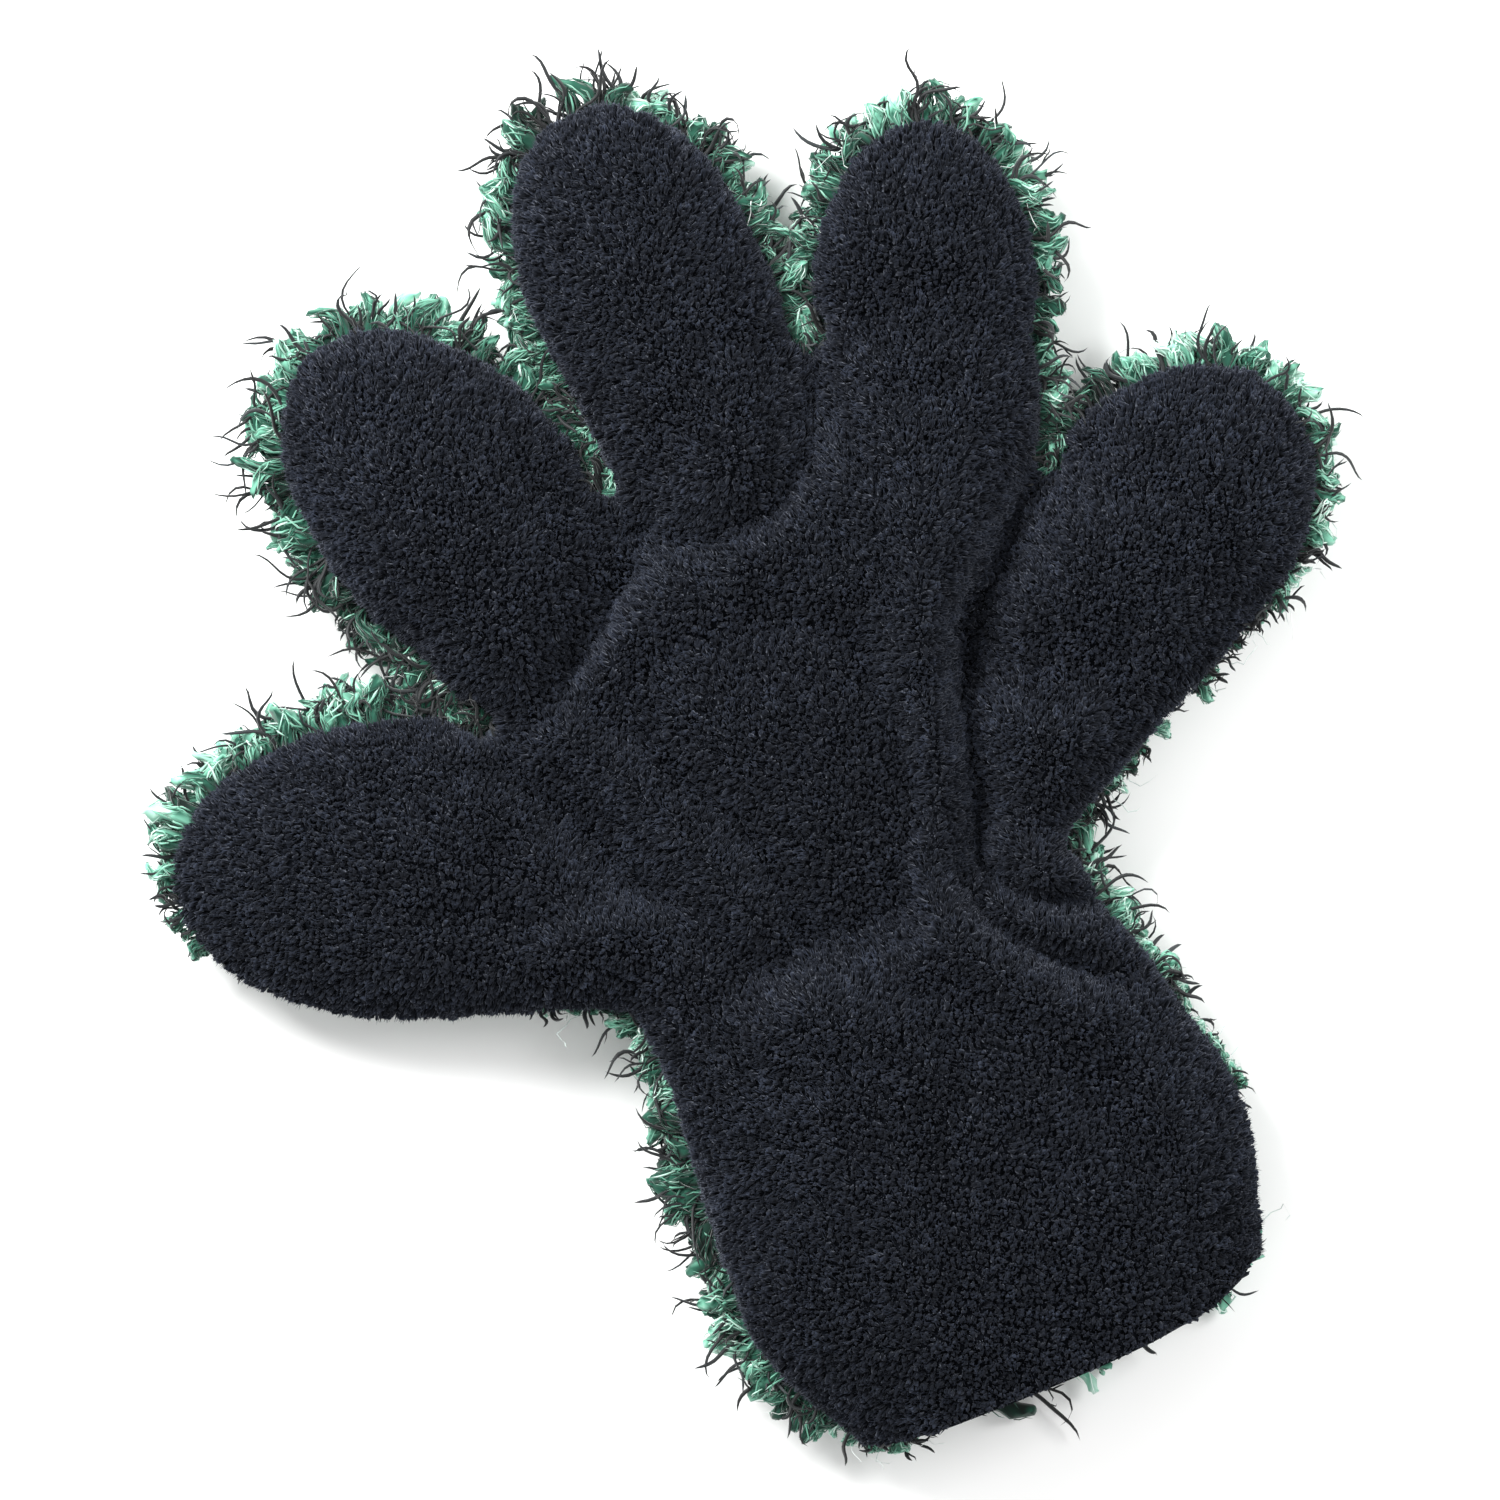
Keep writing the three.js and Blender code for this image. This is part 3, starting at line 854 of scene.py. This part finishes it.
def curls(root, normal, lie, length, rings, turn, sway, rise):
    """Centre lines of stiff strands, whose heading turns and sways along their length: (n, rings + 1, 3)."""
    n = len(root)
    s = even(rings)[None]
    phase, bends = rng.random((n, 1)) * 2 * np.pi, rng.uniform(0.7, 1.6, (n, 1))
    heading = turn[:, None] * s**1.6 + sway[:, None] * (np.sin(2 * np.pi * bends * s + phase) - np.sin(phase))
    heading += np.arctan2(lie[:, 1], lie[:, 0])[:, None]
    step = np.stack([np.cos(heading), np.sin(heading), np.zeros(heading.shape)], axis=2)
    path = np.cumsum(step, axis=1) - step
    path *= length[:, None, None] / rings
    path += root[:, None] + normal[:, None] * (np.minimum(s * 3, 1) * 1.6 - 0.6)[..., None]
    path[..., 2] += rise[:, None] * s**1.3
    return path


def keep_off_floor(path, radius):
    low = path[..., 2] < radius + 0.25
    path[..., 2] = np.where(low, radius + 0.25 + 0.08 * np.abs(path[..., 2] - radius), path[..., 2])
    return path


# Stations along a roving, which is round at its end, and its thickness there.
ROVING = np.array([0, 0.16, 0.34, 0.52, 0.7, 0.86, 0.96, 1.0])
ROVING_WIDTH = np.array([0.6, 0.9, 1.0, 1.0, 0.95, 0.78, 0.45, 0.0])


def locks(root, normal, lie, edge, fibres):
    """Soft blunt rovings, with fine fibres that wander over them."""
    n = len(root)
    rings, sides = len(ROVING) - 1, 8
    share, inward = lock_length(root[:, :2], edge), tucked(root[:, :2]) * (edge > 0.2)
    length = rng.uniform(9, 15, n) * share
    rise = np.where(root[:, 2] > 12, rng.uniform(-3, 2.5, n), rng.uniform(-5, 1, n)) * edge
    rise += (edge < 0.5) * rng.uniform(-2.5, 0.5, n)
    path = spine(root, normal, lie, length, ROVING, rng.uniform(0.3, 1.5, n), rise, rng.normal(0, 1.1, n))
    path = keep_off_floor(path, 1.5)
    thick = rng.uniform(1.3, 2.6, n) * (0.55 + 0.45 * share) * (1 - 0.4 * inward)
    radii = thick[:, None] * ROVING_WIDTH * rng.uniform(0.75, 1.25, (n, rings + 1))
    # Painted shade: locks rooted near the ends of the gaps between the fingers are darkened, as in the shade of the
    # crotches.
    crotch_shade = np.max([np.exp(-(((root[:, :2] - gap[0]) ** 2).sum(1)) / 26**2) for gap in GAPS], axis=0)
    shade = 0.47 + 0.18 * wander(root[:, :2], 9, 33) + rng.normal(0, 0.12, n) - 0.26 * crotch_shade
    shade = np.clip(shade, 0.12, 0.95)
    core = strands(path, 0.82 * radii[:, :-1], sides, rng.random(n) * 6.3)
    core[0][:] += rng.normal(0, 0.26, core[0].shape)
    core[0][:, 2] = np.maximum(core[0][:, 2], 0.3)
    # The core is coloured 0.1 darker than its lock, painted shade inside the clump, with random mottling point by
    # point; the fibres over it are coloured a little lighter than the lock.
    mottle_and_core_shade = np.clip(shade[:, None] - 0.1 + rng.normal(0, 0.12, (n, core[2])), 0, 1)
    groups = [(core, mottle_and_core_shade, rings, sides)]
    along = unit(path[:, -1] - path[:, 0])
    a = unit(np.cross(along, [0.0, 0, 1]))[:, None]
    b = np.cross(along, a[:, 0])[:, None]
    t = even(3)[None]
    for _ in range(fibres):
        low = rng.uniform(0, 0.62, n)
        high = np.minimum(low + rng.uniform(0.3, 0.6, n), 1)
        s = low[:, None] + (high - low)[:, None] * t
        cell = np.clip(np.searchsorted(ROVING, s, side="right") - 1, 0, rings - 1)
        part = (s - ROVING[cell]) / (ROVING[cell + 1] - ROVING[cell])
        centre = (
            np.take_along_axis(path, cell[..., None], 1) * (1 - part[..., None])
            + np.take_along_axis(path, cell[..., None] + 1, 1) * part[..., None]
        )
        width = np.take_along_axis(radii, cell, 1) * (1 - part) + np.take_along_axis(radii, cell + 1, 1) * part
        angle = rng.random((n, 1)) * 6.3 + rng.normal(0, 1.1, (n, 1)) * t
        out = np.cos(angle)[..., None] * a + np.sin(angle)[..., None] * b
        line = centre + out * (width + rng.uniform(-0.4, 0.6, (n, 1)) * np.sin(np.pi * (0.1 + 0.6 * t)))[..., None]
        line += rng.normal(0, 0.2, line.shape)
        fine = rng.uniform(0.12, 0.34, n)[:, None] * np.array([0.8, 1.0, 0.85])
        tint = np.clip(shade + rng.normal(0.03, 0.15, n), 0, 1)
        groups.append((strands(keep_off_floor(line, 0.3), fine, 3, rng.random(n) * 6.3), tint, 3, 3, low, high))
    return gather(groups)


def black_strands(root, normal, lie, edge, each):
    """Curled strands, one to a few from about one root, some with a short side branch."""
    groups = []
    rings = 11
    n = len(root)
    lean, bend = rng.normal(0, 0.5, n), np.where(rng.random(n) < 0.5, -1, 1)
    size, lift, crowd = rng.uniform(0.5, 1.15, n), rng.uniform(0, 6, n), rng.uniform(0.25, 0.9, n)
    for number in range(each):
        keep = rng.random(n) < crowd
        r, nm, e, m = root[keep], normal[keep], edge[keep], int(keep.sum())
        angle = lean[keep] + rng.normal(0, 0.4, m)
        c, d = np.cos(angle), np.sin(angle)
        way = np.stack([lie[keep, 0] * c - lie[keep, 1] * d, lie[keep, 0] * d + lie[keep, 1] * c], axis=1)
        r = r + rng.normal(0, 0.9, (m, 3)) * [1, 1, 0.5]
        inward = tucked(r[:, :2]) * (e > 0.2)
        length = rng.uniform(13, 24, m) * size[keep] * lock_length(r[:, :2], e) * (1 - 0.5 * inward)
        rise = (lift[keep] + rng.uniform(-1.5, 1.5, m)) * e
        turn = bend[keep] * rng.uniform(-0.2, 3.0, m) * (1 - inward)
        path = curls(r, nm, way, length, rings, turn, rng.uniform(0.2, 0.75, m), rise)
        path = keep_off_floor(path, 0.5)
        radii = rng.uniform(0.3, 0.56, m)[:, None] * np.append(np.full(rings - 3, 1.0), [0.92, 0.8, 0.6])
        shade = np.clip(rng.normal(0.4, 0.2, m), 0, 1)
        groups.append((strands(path, radii, 4, rng.random(m) * 6.3), shade, rings, 4))
        fork = rng.random(m) < 0.4
        at = path[fork, 6]
        heading = unit(path[fork, 8] - path[fork, 6])
        heading = unit(heading + rng.normal(0, 0.7, heading.shape) * [1, 1, 0.5])
        t = even(3)[None, :, None]
        twig = at[:, None] + heading[:, None] * t * rng.uniform(2, 5, (len(at), 1, 1))
        twig = keep_off_floor(twig + rng.normal(0, 0.35, twig.shape) * t, 0.3)
        fine = rng.uniform(0.2, 0.32, len(at))[:, None] * np.array([1, 0.95, 0.8])
        groups.append((strands(twig, fine, 3, rng.random(len(at)) * 6.3), shade[fork], 3, 3))
    return gather(groups)


def pale_hairs(root, normal, lie):
    rings = 9
    n = len(root)
    path = spine(
        root, normal, lie, rng.uniform(8, 14, n), even(rings), rng.uniform(1.0, 3.0, n), rng.uniform(0, 5, n),
        rng.normal(0, 1.2, n),
    )
    path = keep_off_floor(path + rng.normal(0, 0.4, path.shape), 0.2)
    radii = np.full((n, rings), 0.13)
    return gather([(strands(path, radii, 3, rng.random(n) * 6.3), rng.random(n), rings, 3)])


# ---------------------------------------------------------------- the mitt, body by body

sheets = []
for number, body in enumerate(BODIES):
    for side, upper in (("plush", True), ("shag", False)):
        want = (face_body == number) & (face_upper == upper)
        points, normals, faces = part_of_form(want)
        tris = triangles(faces)
        cloth = thick_sheet(
            f"{side}_cloth_{body}", points, faces, CLOTH, plush_knit if upper else shag_knit
        )
        pieces = []
        if upper:
            middle_y = points[tris].mean(1)[:, 1]
            zones = {body: middle_y > -999}
            if body == "palm":
                zones = {body: middle_y > -8, "wrist": (middle_y <= -8) & (middle_y > -75), "cuff": middle_y <= -75}
            for zone, chosen in zones.items():
                made = plush_tufts(body, points, normals, tris[chosen])
                pieces.append(new_mesh(f"plush_pile_{zone}", made[0], made[1], plush_pile, made[2]))
        else:
            root, normal, lie, edge = shag_places(points, normals, tris, 3.0)
            fringe = edge > 0.3
            keep = fringe | (rng.random(len(root)) < 0.33)
            root, normal, lie, edge, fringe = root[keep], normal[keep], lie[keep], edge[keep], fringe[keep]
            high, left = root[:, 2] > 9.5, root[:, 0] < 0
            parts = [(f"upper_edge_{body}", high, 31), (f"lower_edge_{body}", ~high, 9)]
            if body == "palm":
                parts[:1] = [("upper_edge_palm_left", high & left, 31), ("upper_edge_palm_right", high & ~left, 31)]
            for part, chosen, fibres in parts:
                chosen = chosen & fringe
                made = locks(root[chosen], normal[chosen], lie[chosen], edge[chosen], fibres)
                pieces.append(new_mesh(f"shag_rovings_{part}", made[0], made[1], green_pile, made[2]))
            made = locks(root[~fringe], normal[~fringe], lie[~fringe], edge[~fringe], 6)
            pieces.append(new_mesh(f"shag_rovings_{body}", made[0], made[1], green_pile, made[2]))
            root, normal, lie, edge = shag_places(points, normals, tris, 4.0)
            fringe, few = edge > 0.3, rng.random(len(root)) < 0.35
            for part, chosen, each in ((f"edge_{body}", fringe, 5), (body, ~fringe & few, 3)):
                made = black_strands(root[chosen], normal[chosen], lie[chosen], edge[chosen], each)
                pieces.append(new_mesh(f"shag_strands_{part}", made[0], made[1], black_pile, made[2]))
            root, normal, lie, edge = shag_places(points, normals, tris, 10)
            keep = edge > 0.5
            made = pale_hairs(root[keep], normal[keep], lie[keep])
            pieces.append(new_mesh(f"shag_pale_hairs_{body}", made[0], made[1], white_hair, made[2]))
        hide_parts(f"{side}_panel_{body}")
        for piece in [cloth] + pieces:
            attach(piece, body)
        area = area_of(points, tris)
        size = points[:, :2] @ (np.eye(2) if body == "palm" else np.stack([folds[body]["across"], folds[body]["along"]], axis=1))
        wide, long = np.ptp(size, axis=0)
        stretch = max(1.0, math.sqrt(area / (wide * long) * 1.001))
        sheets.append((cloth.name, wide * stretch, long * stretch, area))

# The sewn edges, inside.
for name, node in frame["nodes"].items():
    if not name.startswith("seam_"):
        continue
    strip = bpy.data.objects.new(name.replace("seam_", "overlocked_edge_"), node.data.copy())
    bpy.context.scene.collection.objects.link(strip)
    strip.data.materials.clear()
    remesh(strip, 1.2, 2)
    strip.data.materials.clear()
    strip.data.materials.append(seam_thread)
    points, normals = points_of(strip), normals_of(strip)
    pull_in = np.clip(1 - (points[:, 1] - CUT_Y) / 45, 0, 1) ** 2
    points[:, 1] += pull_in * (cuff_line(points[:, 0]) - CUT_Y + 3)
    loops = np.sin(2.6 * (points[:, 0] + points[:, 1])) + np.sin(2.6 * (points[:, 0] - points[:, 1]))
    set_points(strip, points + normals * 0.16 * loops[:, None])
    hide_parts(name)
    body = name.replace("seam_", "")
    attach(strip, body if body in FINGERS else "palm")

# The cuff hem, inside, and its row of stitches.
for side, upper in (("plush", True), ("shag", False)):
    want = (face_body == 0) & (face_upper == upper) & face_hem
    points, normals, faces = part_of_form(want, offset=-CLOTH - 0.3)
    band = thick_sheet(f"cuff_hem_{side}_side", points, faces, 1.4, hem_knit)
    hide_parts(f"hem_{side}_side")
    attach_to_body(band, "palm")
    area = area_of(points, triangles(faces))
    wide = area / HEM_DEPTH
    sheets.append((band.name, wide, HEM_DEPTH, area))

    inner = BVHTree.FromPolygons([Vector(p) for p in points_of(band)], [tuple(p.vertices) for p in band.data.polygons])
    row = []
    for x in np.arange(-50, 46, 0.5):
        y = cuff_line(x) + 15.5
        hit, face_normal, _, _ = inner.ray_cast(Vector((x, y, SEAM_Z)), Vector((0, 0, 1 if upper else -1)))
        if hit:
            row.append(np.array(hit))
    row = np.array(row)
    run = np.concatenate([[0], np.cumsum(np.linalg.norm(np.diff(row, axis=0), axis=1))])
    starts = np.arange(1.5, run[-1] - 4, 4.0)

    def on_row(distance):
        return np.stack([np.interp(distance, run, row[:, k]) for k in range(3)], axis=1)

    rings = 6
    s = np.linspace(0, 1, rings + 1)
    path = np.stack([on_row(starts + 3.2 * t) for t in s], axis=1)
    path[..., 2] += (-1 if upper else 1) * (0.45 * np.sin(np.pi * s) - 0.15)
    radii = np.tile(np.array([0.18, 0.36, 0.42, 0.42, 0.4, 0.3]), (len(starts), 1))
    made = gather([(strands(path, radii, 8, np.zeros(len(starts))), np.full(len(starts), 0.5), rings, 8)])
    stitches = new_mesh(f"cuff_stitches_{side}_side", made[0], made[1], stitch_thread)
    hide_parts(f"hem_stitching_{side}_side")
    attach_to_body(stitches, "palm")

bpy.data.objects.remove(form)

# ---------------------------------------------------------------- floor, light, camera

floor_mesh = bpy.data.meshes.new("floor")
floor_mesh.from_pydata([(-4, -4, 0), (4, -4, 0), (4, 4, 0), (-4, 4, 0)], [], [(0, 1, 2, 3)])
floor = bpy.data.objects.new("floor", floor_mesh)
bpy.context.scene.collection.objects.link(floor)
floor_mesh.materials.append(node_material("pale floor", [(0.0, (246, 246, 245)), (1.0, (250, 250, 250))], 0.8)[0])

UP = (math.sin(math.radians(27)), math.cos(math.radians(27)))
RIGHT = (UP[1], -UP[0])


def area_light(name, across, up, height, size, power, aim=(0, 0)):
    light = bpy.data.lights.new(name, "AREA")
    light.size = size
    light.energy = power
    obj = bpy.data.objects.new(name, light)
    bpy.context.scene.collection.objects.link(obj)
    place = Vector((across * RIGHT[0] + up * UP[0], across * RIGHT[1] + up * UP[1], height))
    obj.location = place
    obj.rotation_euler = (Vector((*aim, 0)) - place).to_track_quat("-Z", "Y").to_euler()
    return obj


area_light("key", -0.62, 0.62, 0.75, 0.5, 25.5)
area_light("side", 1.0, 0.4, 0.9, 0.6, 12)

world = bpy.data.worlds.new("studio")
world.use_nodes = True
world.node_tree.nodes["Background"].inputs["Color"].default_value = (1, 1, 1, 1)
world.node_tree.nodes["Background"].inputs["Strength"].default_value = 0.85
bpy.context.scene.world = world
bpy.context.scene.view_settings.view_transform = "Standard"

camera_data = bpy.data.cameras.new("camera")
camera_data.lens = 200
camera_data.sensor_width = 36
camera = bpy.data.objects.new("camera", camera_data)
bpy.context.scene.collection.objects.link(camera)
camera.location = (-0.0065, 0.0022, 1.9367)
camera.rotation_euler = (0, 0, math.radians(-27))
bpy.context.scene.camera = camera
